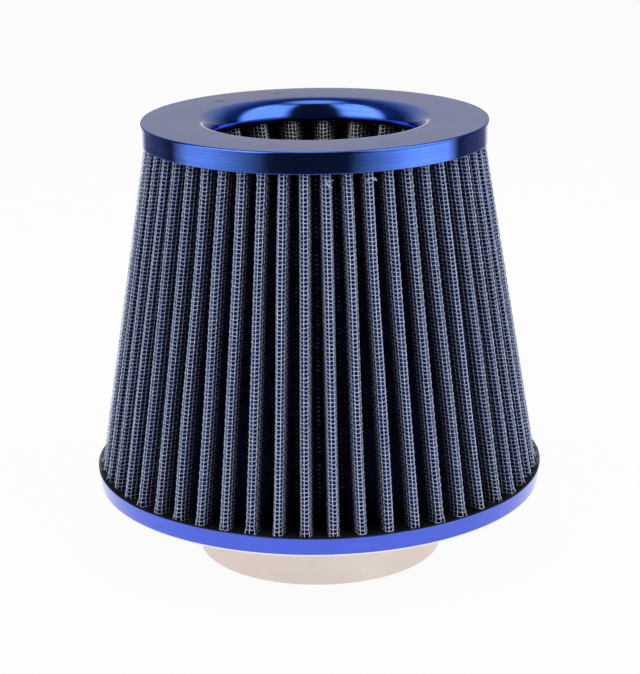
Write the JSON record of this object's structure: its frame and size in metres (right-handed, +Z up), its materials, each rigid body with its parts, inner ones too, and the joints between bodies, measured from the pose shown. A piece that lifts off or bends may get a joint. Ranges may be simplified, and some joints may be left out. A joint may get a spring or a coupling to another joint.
{
  "type": "cone air filter",
  "caption": "Conical pleated engine air filter with a bell-mouthed blue metal top, an inverted pleated cone inside, a blue base pan and a bare metal clamp-on neck.",
  "frame": {"origin": "centre of the neck's foot, on the surface that the filter stands on", "axes": "+Z up the filter's axis, from the neck to the bell mouth; -Y towards the camera"},
  "size_m": [0.145, 0.145, 0.142],
  "materials": {
    "neck_metal": "bare metal, fine satin, bright",
    "blue_metal": "blue anodised, bright",
    "black_urethane": "cast urethane, glossy",
    "filter_sheet": "dark blue gauze under a woven wire screen"
  },
  "bodies": {
    "root": {"neck": "neck_metal", "base_pan": "blue_metal", "base_potting": "black_urethane", "outer_pleats": "filter_sheet", "inner_pleats": "filter_sheet", "inner_end_cap": "black_urethane", "top_potting": "black_urethane", "top_cap": "blue_metal"}
  },
  "joints": []
}
